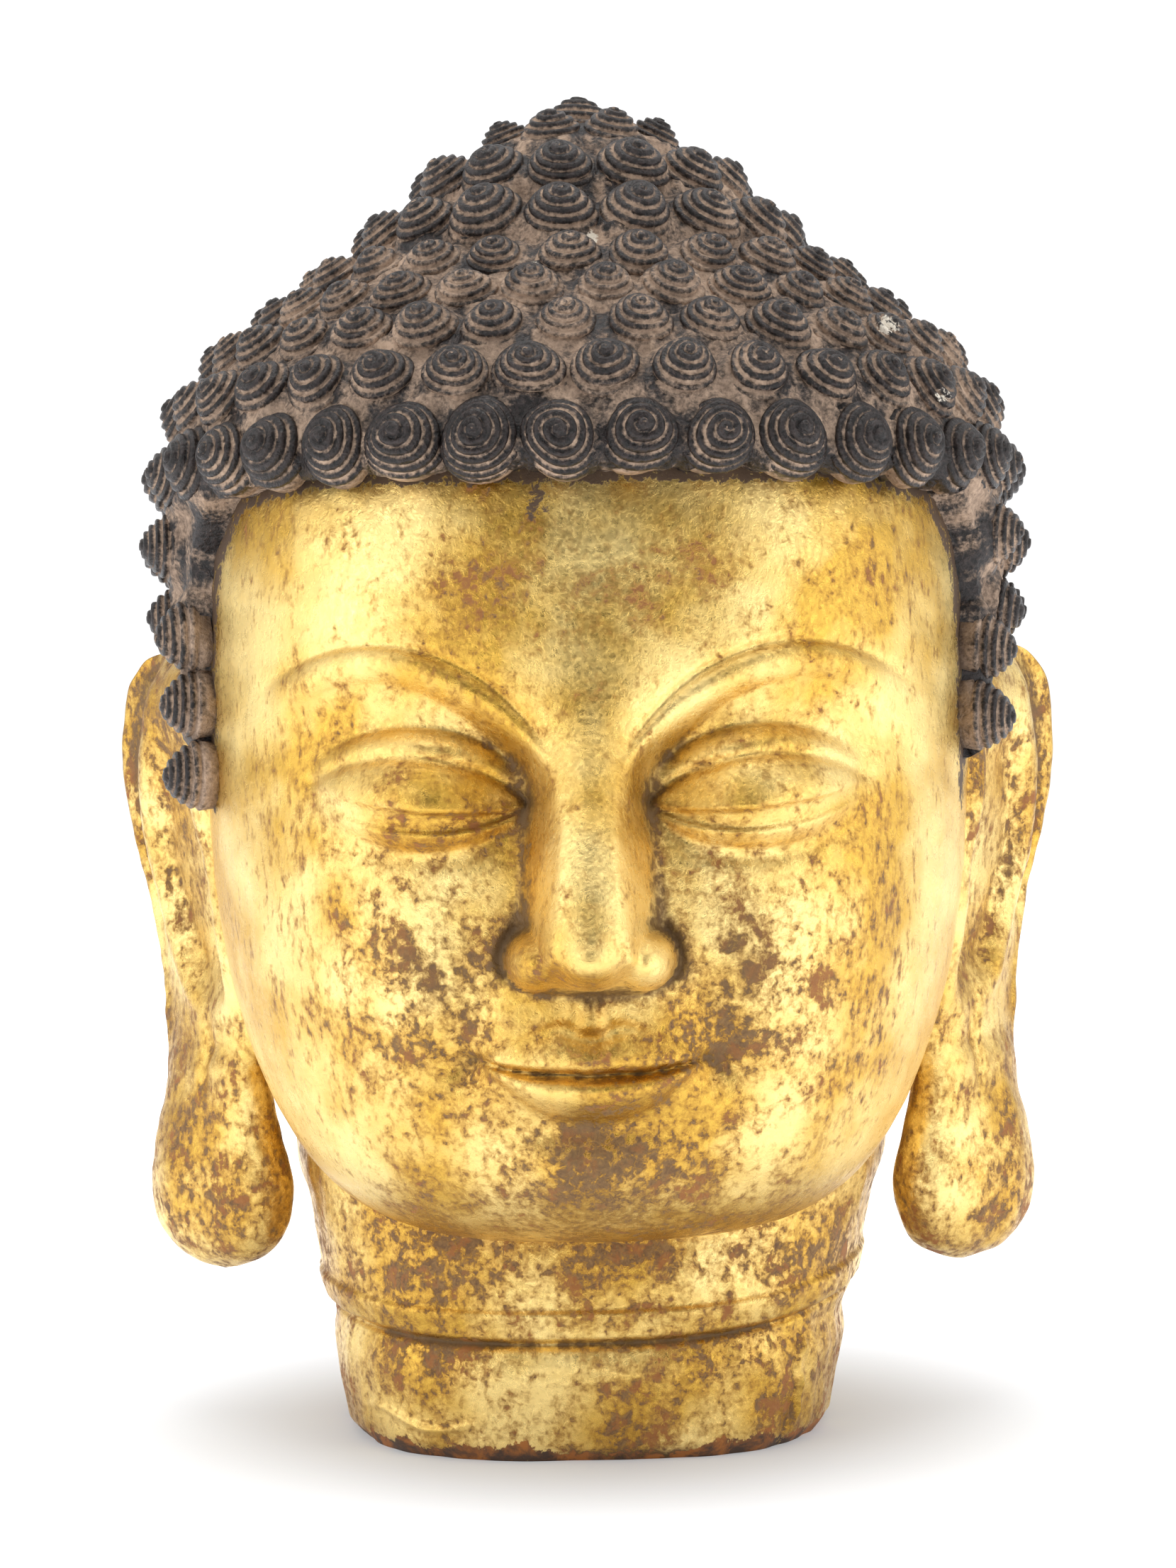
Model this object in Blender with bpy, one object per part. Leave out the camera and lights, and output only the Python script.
"""Gilded buddha head, carved in one piece: snail-curl hair with its crown bump, long ears and a cut neck.

The head looks along -Y and stands on the flat underside of its neck, at z = 0. The carving is drawn in
millimetres on a head 420 mm tall, and MM turns that drawing to metres, so it keeps its proportions at
any height. The hair and the face are one closed surface: its points are laid out on a round chart of the
head, joined there into triangles, and moved to their carved places. Ears and neck are united with it.
"""
import math

import bmesh
import bpy
from mathutils import Vector

# Driving dimensions
HEIGHT = 0.420              # underside of the neck to the tip of the top curl, metres
DRAWN_HEIGHT = 420.0        # the same height on the drawing, millimetres
MM = HEIGHT / DRAWN_HEIGHT  # one drawn millimetre, in metres

# Hair, in drawn millimetres
CURL_HEIGHT = 12.5          # a curl's tip above the hair's ground
CURL_RADIUS = 10.6          # a curl's foot
BACK_WIDENING = 0.08        # share by which the pitch grows behind and shrinks in front
MIDDLE_SHARE = 0.72         # radius of a curl's middle ring, as a share of its foot
MIDDLE_RISE = 0.55          # height of that ring, as a share of the curl's height
RING_POINTS = 5
HAIR_ROUNDNESS = 2.25       # exponent of the section's superellipse
TOP_HEIGHT = DRAWN_HEIGHT - CURL_HEIGHT  # ground of the single curl on top

# Chart that the head's points are joined on
CHART_MIDDLE = 205.0        # height of its equator
TOP_CURL_EDGE = 404.5       # above this height the chart keeps one scale
TOP_CURL_SPAN = 20.0        # radius of the head there

# Face and neck, in drawn millimetres
FLESH_ROUNDNESS = 2.35
FACE_STEP = 13.0            # spacing of the plain skin's points
HAIR_EDGE_GAP = 2.0         # from the hair's lower edge down to the skin's edge
HAIR_EDGE_STEP = 12.0       # spacing of the points along both
HAIR_EDGE_RADIUS = 122.0    # mean radius of the head there
FEATURE_GAP = 3.1           # least distance between two points of the features
NECK_ROUNDNESS = 2.4
NECK_TOP = 112.0            # inside the head
NECK_WORN_TO = 5.0          # height of the worn lower edge
NECK_AROUND = 30            # points around the neck
NECK_FOOT_SHIFT = -2.5      # sideways, from the head's middle
NECK_MIDDLE = 16.0          # the neck's axis behind the head's
EMBED = 3.0                 # how far an ear's root goes into the head

# Heights with half width, reach forward and reach backward
HAIR = [
    (TOP_HEIGHT, 0, -8, 8), (406, 12, 4, 20), (401, 24, 16, 32), (394, 35, 28, 44), (386, 44, 38, 54),
    (377, 54, 48, 64), (369, 61, 57, 73), (361, 70, 65, 82), (352, 82, 76, 93), (340, 98, 90, 109),
    (328, 112, 105, 124), (313, 122, 120, 137),
    (298, 127, 127, 146), (275, 128.5, 129, 152), (240, 126, 131, 153), (205, 125, 132, 148),
    (170, 121, 132, 139), (140, 115, 130, 124), (112, 106, 126, 104), (90, 98, 120, 90),
]
FLESH = [
    (64, 0, 15, -15), (64.6, 26, 48, 8), (66.5, 48, 80, 30), (73, 68, 102, 50), (86, 85, 115.5, 73),
    (106, 98.5, 122.5, 96), (135, 110, 126, 118), (170, 117, 128, 134), (205, 120, 128.5, 143),
    (240, 121, 128, 148), (270, 120, 125.5, 149), (295, 116, 119, 147),
]
NECK = [
    (0, 74, 84, 76), (4, 76, 86, 78), (14, 78, 87, 80), (28, 80, 88, 82), (37, 79, 86.5, 81),
    (46, 82, 88, 83), (60, 84.5, 88.5, 85), (72, 88, 87, 87), (86, 93, 84, 89), (NECK_TOP, 95, 70, 84),
]

# Lower edge of the hair: degrees from the front, height
HAIRLINE = [
    (0, 285), (40, 287), (56, 284), (63, 268), (65, 245), (66.5, 210), (69, 194), (73, 214), (78, 240), (86, 243),
    (95, 240), (103, 222), (112, 185), (122, 150), (135, 118), (150, 100), (180, 94),
]

# Rows of curls: ground height, curls in a full ring, size, and arc from the front to the nearest curl
CURL_ROWS = [
    (401.0, 8, 0.86, -8.5), (386.0, 13, 1.02, -5.4), (369.0, 17, 1.03, -6.0), (352.5, 24, 0.90, -4.0),
    (341.0, 29, 0.90, 6.3), (328.5, 33, 0.93, -4.2), (314.0, 35, 0.97, 6.5), (296.5, 36, 1.00, -6.4),
    (275.0, 36, 0.98, 5.0), (253.5, 36, 0.98, -6.0), (231.0, 36, 0.98, 5.5), (208.5, 35, 0.98, -6.0),
    (186.0, 34, 0.98, 5.5), (163.5, 33, 0.98, -6.0), (141.0, 31, 0.98, 5.5), (119.0, 28, 0.95, -6.0),
]
# Single curls in front of the ears: degrees from the front, ground height
LEFT_TEMPLE = [(-71.5, 247), (-71, 226), (-70, 205)]
RIGHT_TEMPLE = [(71.5, 241), (70.5, 220)]

# Ear: height, outer edge x and y, front edge x and y, thickness
EAR = [
    (247, 124, 6, 124, 4, 0), (243.5, 134, 22, 118, -12, 9), (236, 143.5, 30, 117, -24, 13),
    (225, 148, 34, 116, -31, 15), (210, 149, 35, 116, -34, 15), (195, 147.5, 34, 115, -35, 14),
    (180, 144.5, 32, 114, -34, 13), (160, 138.5, 29, 112, -32, 13), (140, 134.5, 25, 109, -29, 14),
    (125, 133.5, 22, 106, -26, 16), (105, 134, 20, 103, -22, 20), (90, 135.5, 19, 100, -20, 24),
    (75, 136.5, 18, 97, -19, 27), (62, 134.5, 15, 99, -16, 24), (53, 128, 9, 106, -10, 15),
    (48, 117, 0, 117, -1, 0),
]
EAR_ROOT_END = 118.0        # below this height the lobe hangs free
EAR_AROUND = 16             # points around an ear's section
EAR_ALONG = 18              # sections along it

# Line from the nose's side over the brow: distance from the middle, height
BROW_LINE = [
    (9.5, 138), (9.5, 150), (8, 165), (6.8, 180), (7, 194), (10, 206.5), (17.5, 218.5), (31, 230.5),
    (49, 238.5), (68, 240), (85, 234.5), (98, 225),
]
NOSE_WING = (15.0, 152.0)
EYE_MIDDLE = (47.5, 198.5)
EYE_HALF = 30.0
MOUTH_HALF = 32.0
MOUTH_HEIGHT = 120.5

GOLD = (0.76, 0.50, 0.13, 1.0)


def smooth(start, end, value):
    """Ease from 0 at start to 1 at end."""
    share = min(1.0, max(0.0, (value - start) / (end - start)))
    return share * share * (3 - 2 * share)


def bell(value, width):
    """A hump of height 1 around 0."""
    return math.exp(-(value / width) ** 2)


def blend_max(first, second, width):
    """The larger of two heights, rounded where they meet."""
    share = min(1.0, max(0.0, 0.5 + 0.5 * (first - second) / width))
    rise = width * share * (1 - share) * min(1.0, max(first, second) / width)
    return first * share + second * (1 - share) + rise


def through(rows, place):
    """Point at a fractional index of a table, on a smooth curve through its rows."""
    last = len(rows) - 1
    index = min(last - 1, max(0, int(place)))
    part = place - index
    before = rows[max(0, index - 1)]
    after = rows[min(last, index + 2)]
    result = []
    for p0, p1, p2, p3 in zip(before, rows[index], rows[index + 1], after):
        linear = p2 - p0
        square = 2 * p0 - 5 * p1 + 4 * p2 - p3
        cube = 3 * p1 - p0 - 3 * p2 + p3
        result.append(0.5 * (2 * p1 + linear * part + square * part ** 2 + cube * part ** 3))
    return result


def at_key(rows, key):
    """Row of a table whose first column rises or falls, at a value of that column."""
    low, high = 0.0, len(rows) - 1.0
    rising = rows[-1][0] > rows[0][0]
    for _ in range(30):
        middle = (low + high) / 2
        if (through(rows, middle)[0] < key) == rising:
            low = middle
        else:
            high = middle
    return through(rows, (low + high) / 2)


def between(keys, value):
    """Straight interpolation in a list of (key, value) pairs."""
    for (key_a, value_a), (key_b, value_b) in zip(keys, keys[1:]):
        if value <= key_b:
            share = min(1.0, max(0.0, (value - key_a) / (key_b - key_a)))
            return value_a + share * (value_b - value_a)
    return keys[-1][1]


def superellipse(row, angle, roundness):
    """Point of a level section: row is height, half width, forward, backward; angle 0 is the front."""
    height, half_width, forward, backward = row
    power = 2 / roundness
    sine, cosine = math.sin(angle), math.cos(angle)
    x = half_width * math.copysign(abs(sine) ** power, sine)
    middle, half_depth = (backward - forward) / 2, (backward + forward) / 2
    y = middle - half_depth * math.copysign(abs(cosine) ** power, cosine)
    return Vector((x, y, height))


def hair_point(angle, height):
    """Point of the hair's ground, under the curls."""
    return superellipse(at_key(HAIR, height), angle, HAIR_ROUNDNESS)


def hairline(angle):
    """Height of the hair's lower edge at an angle from the front, in radians."""
    degrees = abs(math.degrees(math.atan2(math.sin(angle), math.cos(angle))))
    return between(HAIRLINE, degrees)


def hair_frame(angle, height):
    """A place on the hair's ground, with the directions out of it, around it and up it."""
    step = 0.02
    low = max(height - 1.0, HAIR[-1][0])
    place = hair_point(angle, height)
    around = (hair_point(angle + step, height) - hair_point(angle - step, height)).normalized()
    up = (hair_point(angle, min(height + 1.0, TOP_HEIGHT - 0.5)) - hair_point(angle, low)).normalized()
    out = around.cross(up).normalized()
    return place, out, around, out.cross(around)


def chart_table():
    """Chart latitude of each height: the one that keeps angles, from the profile's length over its radius."""
    steps = 260
    rows = [row for row in HAIR if row[0] > FLESH[4][0]] + [row for row in reversed(FLESH[:5])]
    sections = [through(rows, (len(rows) - 1) * index / steps) for index in range(steps + 1)]
    spans = [(row[0], max(1.0, (row[1] + (row[2] + row[3]) / 2) / 2)) for row in sections]
    stretched, total = [], 0.0
    for (height, radius), (next_height, next_radius) in zip(spans, spans[1:]):
        stretched.append((height, total))
        total += math.hypot(next_height - height, next_radius - radius) * 2 / (radius + next_radius)
    stretched.append((spans[-1][0], total))
    middle = next(length for height, length in stretched if height < CHART_MIDDLE)
    latitudes = [(height, 2 * math.atan(math.tanh((middle - length) / 2))) for height, length in stretched]
    return latitudes[::-1], [(height, radius) for height, radius in spans][::-1]


LATITUDES, RADII = chart_table()


def chart(place, east=0.0, north=0.0):
    """Where a place on the plain head lies on the unit chart, moved by millimetres east and north."""
    section = at_key(HAIR if place.z > HAIR[-1][0] else FLESH, place.z)
    longitude = math.atan2(place.x, (section[3] - section[2]) / 2 - place.y)
    latitude = between(LATITUDES, place.z)
    radius = max(between(RADII, place.z), TOP_CURL_SPAN)
    scale = max(math.cos(latitude), math.cos(between(LATITUDES, TOP_CURL_EDGE))) / radius
    sine, cosine = math.sin(longitude), math.cos(longitude)
    base = Vector((math.cos(latitude) * sine, -math.cos(latitude) * cosine, math.sin(latitude)))
    to_east = Vector((cosine, sine, 0))
    return (base + to_east * east * scale + base.cross(to_east) * north * scale).normalized()


def row_angles(height, count, shift):
    """Angles of the curls around one row, closer in front than behind, from its arc length."""
    samples = 360
    section = at_key(HAIR, height)
    angles = [2 * math.pi * index / samples for index in range(samples + 1)]
    points = [superellipse(section, angle, HAIR_ROUNDNESS) for angle in angles]
    reach = [0.0]
    for first, second in zip(points, points[1:]):
        reach.append(reach[-1] + (second - first).length)
    length = reach[-1]
    result = []
    for index in range(count):
        turn = index / count + shift / length / (1 - BACK_WIDENING)
        turn -= BACK_WIDENING * math.sin(2 * math.pi * turn) / (2 * math.pi)
        arc = (turn % 1.0) * length
        found = next(place for place in range(1, samples + 1) if reach[place] >= arc)
        part = (arc - reach[found - 1]) / (reach[found] - reach[found - 1])
        result.append(angles[found - 1] + part * (angles[found] - angles[found - 1]))
    return result


def curl_places():
    """Every curl: its frame on the ground and its size."""
    step = math.radians(5)
    over_hairline = 5.0
    clear_of_temple = 15.0
    top = Vector((0, 8, TOP_HEIGHT))
    curls = [((top, Vector((0, 0, 1)), Vector((1, 0, 0)), Vector((0, 1, 0))), 1.0)]
    temple_frames = [hair_frame(math.radians(degrees), height) for degrees, height in LEFT_TEMPLE + RIGHT_TEMPLE]
    curls += [(frame, 0.95) for frame in temple_frames]
    for height, count, size, shift in CURL_ROWS:
        for angle in row_angles(height, count, shift):
            edge = max(hairline(angle - step), hairline(angle), hairline(angle + step))
            frame = hair_frame(angle, height)
            clear = all((frame[0] - other[0]).length > clear_of_temple for other in temple_frames)
            if clear and height > edge + over_hairline:
                curls.append((frame, size))
    return curls


def curl_points(curls):
    """Chart places and points of the curls: tips, middle rings, then the feet that neighbours share."""
    result = []
    feet = []
    share_feet, clear_of_curl, foot_share, sink, edge_clear = 6.6, 8.8, 1.06, 0.6, 4.0
    for (place, out, around, up), size in curls:
        radius = CURL_RADIUS * size
        result.append((chart(place), place + out * CURL_HEIGHT * size))
        for index in range(RING_POINTS):
            turn = 2 * math.pi * (index + 0.5) / RING_POINTS
            east, north = radius * math.cos(turn), radius * math.sin(turn)
            side = around * east + up * north
            ring = place + side * MIDDLE_SHARE + out * CURL_HEIGHT * size * MIDDLE_RISE
            result.append((chart(place, east * MIDDLE_SHARE, north * MIDDLE_SHARE), ring))
            foot = place + side * foot_share - out * sink
            clear = all((foot - other[0]).length > clear_of_curl for other, _ in curls)
            above_edge = foot.z - hairline(math.atan2(foot.x, -foot.y)) > edge_clear
            if clear and above_edge and all((foot - other).length > share_feet for other in feet):
                feet.append(foot)
                result.append((chart(place, east * foot_share, north * foot_share), foot))
    return result


def hair_edge():
    """The ledge where the hair ends: points on the hair's lower edge, and on the skin just outside it."""
    result = []
    for (start, start_height), (end, end_height) in zip(HAIRLINE, HAIRLINE[1:]):
        run = math.radians(end - start) * HAIR_EDGE_RADIUS
        rise = end_height - start_height
        length = math.hypot(run, rise)
        count = max(1, round(length / HAIR_EDGE_STEP))
        for share in (index / count for index in range(count)):
            angle = math.radians(start) + share * run / HAIR_EDGE_RADIUS
            height = start_height + share * rise
            skin_angle = angle + HAIR_EDGE_GAP * rise / length / HAIR_EDGE_RADIUS
            skin_height = height - HAIR_EDGE_GAP * run / length
            for side in (1, -1) if angle > 0 else (1,):
                hair = hair_point(side * angle, height)
                skin = superellipse(at_key(FLESH, skin_height), side * skin_angle, FLESH_ROUNDNESS)
                result += [(chart(hair), hair), (chart(skin), skin)]
    return result


def line_distance(x, z):
    """Distance to the brow line, positive on the nose's side, and the share of the way along it."""
    steps = 48
    best, sign, share = 1e9, 1.0, 0.0
    previous = through(BROW_LINE, 0)
    for index in range(1, steps + 1):
        current = through(BROW_LINE, index / steps * (len(BROW_LINE) - 1))
        run, rise = current[0] - previous[0], current[1] - previous[1]
        part = ((x - previous[0]) * run + (z - previous[1]) * rise) / (run * run + rise * rise)
        part = min(1.0, max(0.0, part))
        away_x, away_z = x - previous[0] - part * run, z - previous[1] - part * rise
        distance = math.hypot(away_x, away_z)
        if distance < best:
            best, share = distance, (index - 1 + part) / steps
            sign = 1.0 if run * away_z - rise * away_x >= 0 else -1.0
        previous = current
    return best * sign, share


def socket_relief(x, z):
    """Broad forms: eye sockets, cheeks, the swell around the mouth, and the chin."""
    relief = -10.5 * bell(x - 25, 15) * bell(z - 203, 15)
    relief -= 4.5 * bell(x - 56, 28) * bell(z - 214, 13)
    relief += 3.5 * bell(x - 62, 26) * bell(z - 158, 30)
    relief += 6.0 * bell(x, 30) * bell(z - 126, 24)
    relief += 5.5 * bell(x, 21) * bell(z - 88, 14)
    relief -= 3.0 * bell(x, 24) * bell(z - 104.5, 5.5)
    relief -= 3.2 * bell(x - 34.5, 5) * bell(z - 122, 6)
    return relief


def eye_lines(x):
    """Heights of the lowered lid's edge, the lower lid and the fold above, and the eye's fullness."""
    across = (x - EYE_MIDDLE[0]) / EYE_HALF
    full = max(0.0, 1 - across * across)
    middle = EYE_MIDDLE[1] + 1.8 * across
    upper = middle - 1.2 - 4.2 * full ** 0.8 + 1.2 * across
    lower = middle - 2.0 - 9.0 * full ** 0.7
    fold = upper + 1.5 + 13.5 * full ** 0.75
    return across, full, middle, upper, lower, fold


def eye_relief(x, z):
    """A ball under a lowered lid, with the lid's edge and the fold above it."""
    across, full, middle, upper, lower, fold = eye_lines(x)
    ball = max(0.0, 1 - across * across * 0.96 - ((z - middle - 1) / 17.5) ** 2)
    inside = 1 - smooth(0.96, 1.08, abs(across))
    above = smooth(-0.5, 0.5, z - upper)
    below = smooth(-0.5, 0.5, lower - z)
    relief = 11.5 * ball ** 0.9 + above * 1.9 * bell(z - upper, 7) * full ** 0.3
    relief -= (1 - above) * (1 - below) * 1.4 * full ** 0.4
    relief += 1.6 * smooth(0, 5, z - fold) * (1 - smooth(5, 16, z - fold)) * full ** 0.5
    return relief * inside - 1.6 * bell(z - fold, 1.5) * (1 - smooth(1.0, 1.15, abs(across)))


def nose_relief(x, z):
    """The nose's ridge, which runs out into the brows, with its tip and wings."""
    distance, share = line_distance(x, z)
    ridge = between([(141, 0), (148, 20), (153, 31), (158, 33), (166, 31), (180, 25), (195, 18.5),
                     (207, 13), (218, 8), (232, 4), (250, 1.5), (275, 0)], z)
    flank = between([(140, 12), (160, 13), (200, 12), (215, 13), (232, 18), (260, 24)], z)
    fall = 1 - smooth(0, 1, -distance / flank)
    crown = 1 - 0.1 * min(1.0, x / 9) ** 2
    low = ridge * (crown if distance > 0 else crown * fall) * (1 - smooth(38, 60, x))
    high = ridge * bell(x, 22) * (1 if distance > 0 else fall)
    share_low = 1 - smooth(203, 222, z)
    nose = low * share_low + high * (1 - share_low)
    tip = 34.5 * math.sqrt(max(0.0, 1 - (x / 13.5) ** 2 - ((z - 153.5) / 10) ** 2))
    wing_x, wing_z = (x - NOSE_WING[0]) / 9, (z - NOSE_WING[1]) / 9
    wing = 22.0 * math.sqrt(max(0.0, 1 - wing_x ** 2 - wing_z ** 2))
    relief = blend_max(blend_max(nose, tip, 4), wing, 3)
    roll = math.sin(math.pi * min(1.0, max(0.0, -distance / 11)))
    brow = smooth(204, 216, z) * (1 - smooth(0.86, 1.0, share))
    return relief + brow * (3.2 * roll - 0.9 * bell(distance, 1.3))


def mouth_lines(x):
    """Heights of the line between the lips, the top lip's edge and the bottom lip's edge."""
    out = min(1.0, x / MOUTH_HALF)
    middle = MOUTH_HEIGHT - 0.8 * math.sin(math.pi * out) + 3.4 * out ** 2.5 - 0.8 * bell(x, 5)
    top = between([(0, 130.8), (2.5, 131.2), (8, 133.8), (14, 132.4), (22, 128.6), (32, 124.2)], x)
    bottom = between([(0, 107), (8, 107.6), (16, 110.4), (24, 116.2), (32, 123.6)], x)
    return out, middle, top, bottom


def mouth_relief(x, z):
    """Two full lips that taper to the corners."""
    out, middle, top, bottom = mouth_lines(x)
    taper = max(0.0, 1 - out ** 2.4) ** 0.6
    inside = 1 - smooth(0.97, 1.05, x / MOUTH_HALF)
    upward = min(1.0, max(0.0, (z - middle) / max(top - middle, 0.5)))
    downward = min(1.0, max(0.0, (middle - z) / max(middle - bottom, 0.5)))
    relief = 4.6 * taper * max(0.0, math.sin(math.pi * upward ** 0.62)) ** 0.75
    relief += 6.4 * taper * max(0.0, math.sin(math.pi * downward ** 0.72)) ** 0.7
    relief += 1.3 * bell(z - top, 1.2) * math.sqrt(taper)
    return relief * inside - 2.6 * bell(z - middle, 1.3) * (1 - smooth(0.95, 1.12, x / MOUTH_HALF))


def face_relief(x, z):
    """How far the carving stands in front of the plain egg of the head."""
    x = abs(x)
    return socket_relief(x, z) + eye_relief(x, z) + nose_relief(x, z) + mouth_relief(x, z)


def face_point(x, z):
    """Chart place and point of the carved face, seen from the front at x and z."""
    height, half_width, forward, backward = at_key(FLESH, z)
    width_left = max(0.0, 1 - (abs(x) / half_width) ** FLESH_ROUNDNESS)
    middle, half_depth = (backward - forward) / 2, (backward + forward) / 2
    plain = Vector((x, middle - half_depth * width_left ** (1 / FLESH_ROUNDNESS), z))
    return chart(plain), plain - Vector((0, face_relief(x, z), 0))


def feature_places():
    """Places along the features' own lines, on the side of positive x."""
    places = [(0, 141), (0, 145), (0, 149.5), (0, 154.5), (6.5, 148), (6.5, 154), (7, 143)]
    for index in range(8):
        turn = 2 * math.pi * index / 8
        places.append((NOSE_WING[0] + 8.0 * math.cos(turn), NOSE_WING[1] + 8.0 * math.sin(turn)))
        places.append((NOSE_WING[0] + 12.5 * math.cos(turn), NOSE_WING[1] + 12.0 * math.sin(turn)))
    places.append(NOSE_WING)
    for z in (160, 167, 175, 185, 195, 205, 214, 224, 234):
        places += [(0, z), (5, z)]
    for index in range(7, 34):
        x, z = through(BROW_LINE, index / 3)
        ahead = through(BROW_LINE, index / 3 + 0.1)
        direction = Vector((ahead[0] - x, ahead[1] - z)).normalized()
        for away in (0, 5.5, 11) if z > 206 else (0, 6.5, 12.5):
            places.append((x + direction.y * away, z - direction.x * away))
    for index in range(-5, 6):
        x = EYE_MIDDLE[0] + EYE_HALF * math.sin(index / 5 * math.pi / 2)
        across, full, middle, upper, lower, fold = eye_lines(x)
        places.append((x, upper + 0.6))
        if full > 0.1:
            places += [(x, fold), (x, lower + 0.6), (x, (upper + fold) / 2), (x, lower - 4.5)]
            places.append((x, fold + 5))
    for x in (0, 4, 8.5, 13.5, 19, 24.5, 29, MOUTH_HALF):
        out, middle, top, bottom = mouth_lines(x)
        places.append((x, middle))
        if out < 1:
            places += [(x, top + 0.5), (x, (top + middle) / 2), (x, (middle + bottom) / 2)]
            places += [(x, bottom), (x, bottom - 3.5)]
    places += [(0, 137), (6, 137), (12, 138), (36.5, 122), (35, 116), (36, 130)]
    return places


def skin_points():
    """The face's feature points on both sides, then plain skin wherever there is room."""
    places = []
    for x, z in feature_places():
        if all(math.hypot(x - other[0], z - other[1]) > FEATURE_GAP for other in places):
            places.append((x, z))
    result = [face_point(x, z) for x, z in places]
    result += [face_point(-x, z) for x, z in places if x > 0]
    height = FLESH[1][0]
    row = 0
    while height < FLESH[-1][0]:
        section = at_key(FLESH, height)
        around = 2 * math.pi * (section[1] + (section[2] + section[3]) / 2) / 2
        count = max(8, round(around / FACE_STEP))
        for index in range(count):
            angle = 2 * math.pi * (index + 0.5 * (row % 2)) / count
            plain = superellipse(section, angle, FLESH_ROUNDNESS)
            side_angle = FACE_STEP / 2 / HAIR_EDGE_RADIUS
            edge = min(hairline(angle - side_angle), hairline(angle), hairline(angle + side_angle))
            if height > edge - HAIR_EDGE_GAP - FACE_STEP / 2:
                continue
            near = FACE_STEP * 0.6
            flat = (abs(plain.x), plain.z)
            ahead = math.cos(angle) > 0
            if ahead and any(math.hypot(flat[0] - x, flat[1] - z) < near for x, z in places):
                continue
            relief = face_relief(plain.x, height) * smooth(0.1, 0.35, math.cos(angle))
            result.append((chart(plain), plain - Vector((0, relief, 0))))
        row += 1
        height += 2.0 if height < 70 else FACE_STEP * 0.85
    chin_under = Vector((0, (FLESH[0][3] - FLESH[0][2]) / 2, FLESH[0][0]))
    result.append((Vector((0, 0, -1)), chin_under))
    return result


def new_object(name, mesh_data, collection):
    """Turn a bmesh into an object of the collection."""
    mesh = bpy.data.meshes.new(name)
    mesh_data.to_mesh(mesh)
    mesh_data.free()
    item = bpy.data.objects.new(name, mesh)
    collection.objects.link(item)
    return item


def wrap(name, places, collection):
    """Close a cloud of points: the hull of their places on the unit chart, moved to the points."""
    mesh_data = bmesh.new()
    corners = [(mesh_data.verts.new(on_chart), point) for on_chart, point in places]
    bmesh.ops.convex_hull(mesh_data, input=mesh_data.verts, use_existing_faces=False)
    loose = []
    for corner, point in corners:
        if corner.is_valid and corner.link_faces:
            corner.co = point * MM
        elif corner.is_valid:
            loose.append(corner)
    bmesh.ops.delete(mesh_data, geom=loose, context="VERTS")
    bmesh.ops.recalc_face_normals(mesh_data, faces=mesh_data.faces)
    return new_object(name, mesh_data, collection)


def ear_relief(across, height):
    """Carving on an ear's outer face: rim, hollow, inner fold and the bowl, from front 0 to rim 1."""
    upper = smooth(112, 128, height) * (1 - smooth(238, 245, height))
    rim = 2.6 * bell(across - 0.93, 0.10) - 4.6 * bell(across - 0.71, 0.10)
    fold = 2.6 * bell(across - 0.50, 0.10)
    bowl = -6.5 * bell(across - 0.27, 0.12) * bell(height - 178, 32)
    return upper * (rim + fold + bowl)


def ear(side, collection):
    """One long ear: a sphere whose rings are laid on the ear's sections."""
    mesh_data = bmesh.new()
    bmesh.ops.create_uvsphere(mesh_data, u_segments=EAR_AROUND, v_segments=EAR_ALONG, radius=1)
    for corner in mesh_data.verts:
        polar = math.acos(max(-1.0, min(1.0, corner.co.z)))
        turn = math.atan2(corner.co.y, corner.co.x)
        height, rim_x, rim_y, root_x, root_y, thick = through(EAR, polar / math.pi * (len(EAR) - 1))
        if height > EAR_ROOT_END:
            root_x -= EMBED
        rim, root = Vector((rim_x, rim_y)), Vector((root_x, root_y))
        length = (rim - root).length
        along = (rim - root) / length if length > 0.001 else Vector((0, 1))
        outward = Vector((along.y, -along.x))
        across = 0.5 + 0.5 * math.copysign(abs(math.cos(turn)) ** 0.9, math.cos(turn))
        bulge = thick / 2 * math.copysign(abs(math.sin(turn)) ** 0.75, math.sin(turn))
        if bulge > 0 and length > 1:
            bulge += ear_relief(across, height) * min(1.0, abs(math.sin(turn)) * 2)
        place = root + along * length * across + outward * bulge
        corner.co = Vector((side * place.x, place.y, height)) * MM
    bmesh.ops.recalc_face_normals(mesh_data, faces=mesh_data.faces)
    name = "ear_right_guide" if side > 0 else "ear_left_guide"
    return new_object(name, mesh_data, collection)


def neck_lean(height):
    """The neck's foot stands a little to one side of the head's middle."""
    return Vector((NECK_FOOT_SHIFT * (1 - height / NECK_TOP), 0, 0))


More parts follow.
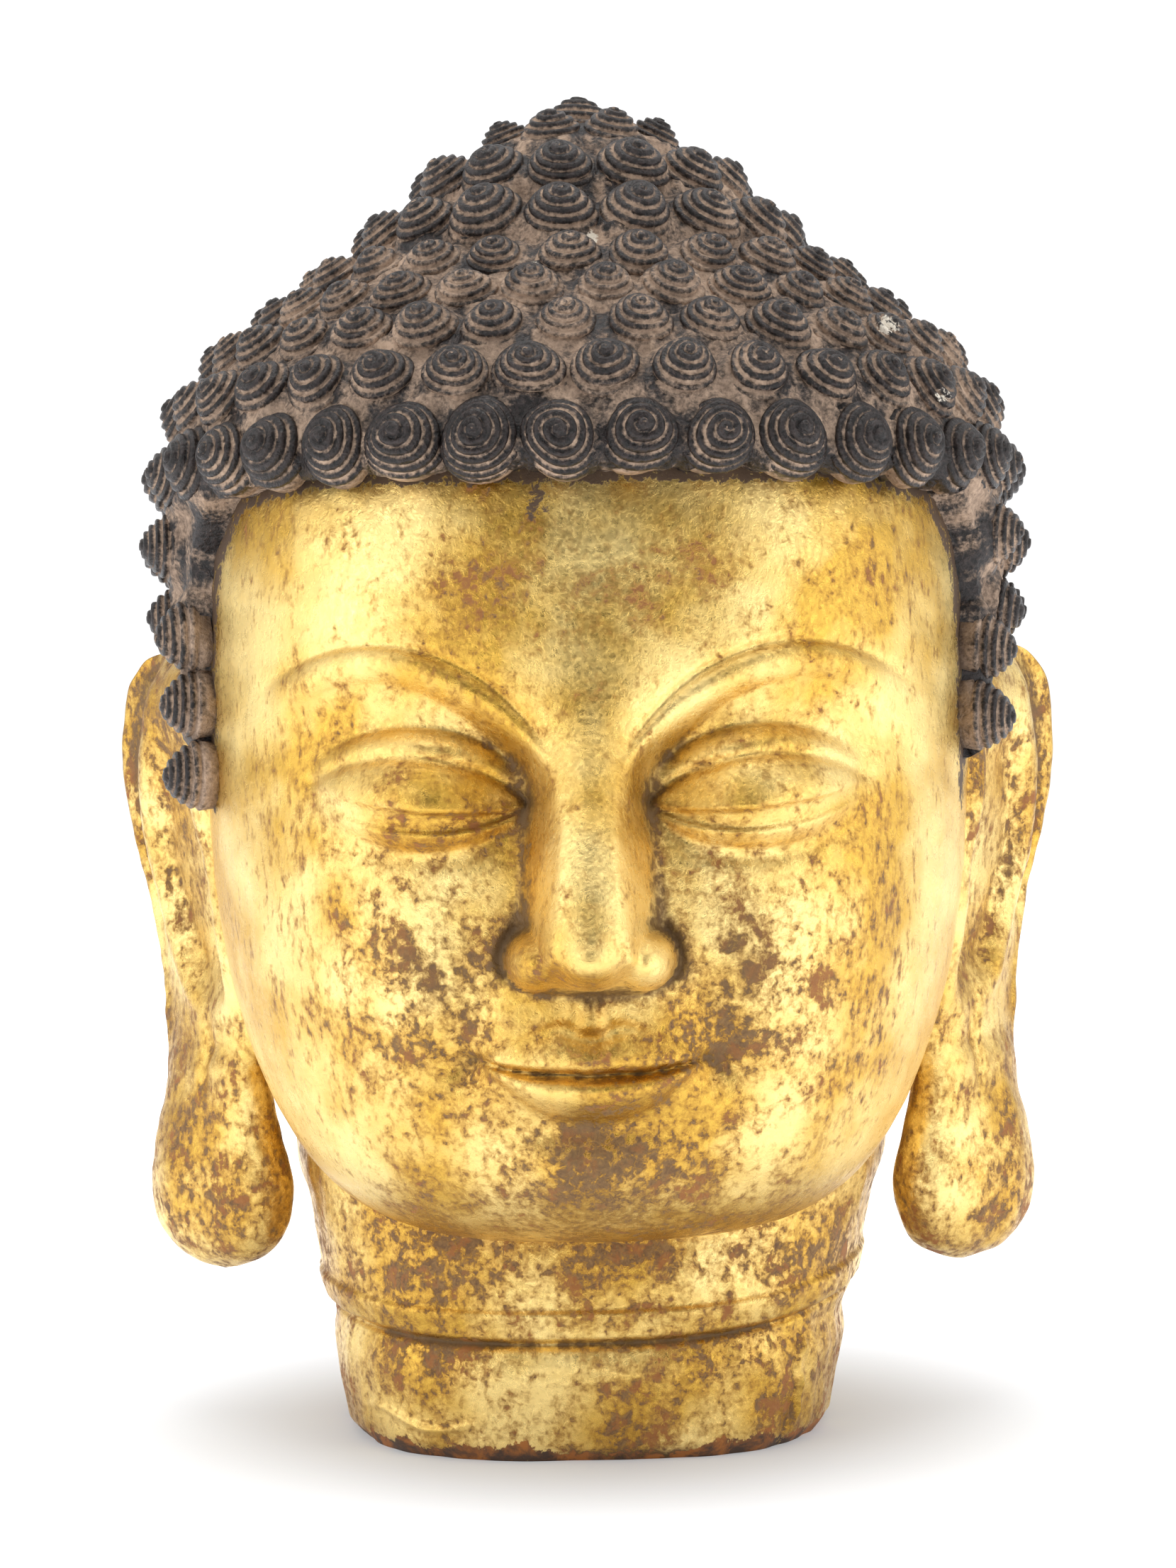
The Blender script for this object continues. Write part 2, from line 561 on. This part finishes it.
def neck_points():
    """The neck's sections, with a worn lower edge, and its flat underside."""
    points = []
    axis = Vector((0, NECK_MIDDLE, 0))
    for row in NECK:
        for index in range(NECK_AROUND):
            angle = 2 * math.pi * index / NECK_AROUND
            point = superellipse(row, angle, NECK_ROUNDNESS)
            if row[0] < NECK_WORN_TO:
                wear = 0.6 * math.sin(5 * angle + 1) + 0.7 * math.sin(9 * angle)
                point.x *= 1 + wear / row[1]
            points.append(point + axis + neck_lean(row[0]))
    for row, share in ((NECK[0], 0.7), (NECK[0], 0.35), (NECK[-1], 0.5)):
        for index in range(12):
            point = superellipse(row, 2 * math.pi * index / 12, NECK_ROUNDNESS)
            inner = Vector((point.x * share, point.y * share, row[0]))
            points.append(inner + axis + neck_lean(row[0]))
    points += [axis + neck_lean(0), axis + Vector((0, 0, NECK_TOP))]
    centre = axis + Vector((0, 0, NECK_TOP / 2))
    return [((point - centre).normalized(), point) for point in points]


def gilded_wood():
    """Leaf over carved wood, for the whole piece."""
    material = bpy.data.materials.new("gilded carved wood")
    material.use_nodes = True
    shader = material.node_tree.nodes["Principled BSDF"]
    shader.inputs["Base Color"].default_value = GOLD
    shader.inputs["Metallic"].default_value = 0.85
    shader.inputs["Roughness"].default_value = 0.38
    return material


def join(item, guide):
    """Unite a guide with the head."""
    union = item.modifiers.new(guide.name, "BOOLEAN")
    union.operation = "UNION"
    union.solver = "EXACT"
    union.object = guide
    guide.hide_render = True
    guide.display_type = "WIRE"


def main():
    for item in list(bpy.data.objects):
        bpy.data.objects.remove(item, do_unlink=True)
    parts = bpy.data.collections.new("buddha head sculpture")
    guides = bpy.data.collections.new("guides")
    bpy.context.scene.collection.children.link(parts)
    bpy.context.scene.collection.children.link(guides)
    places = curl_points(curl_places()) + hair_edge() + skin_points()
    head = wrap("buddha_head", places, parts)
    head.data.materials.append(gilded_wood())
    neck = wrap("neck_guide", neck_points(), guides)
    for guide in (neck, ear(1, guides), ear(-1, guides)):
        join(head, guide)


main()
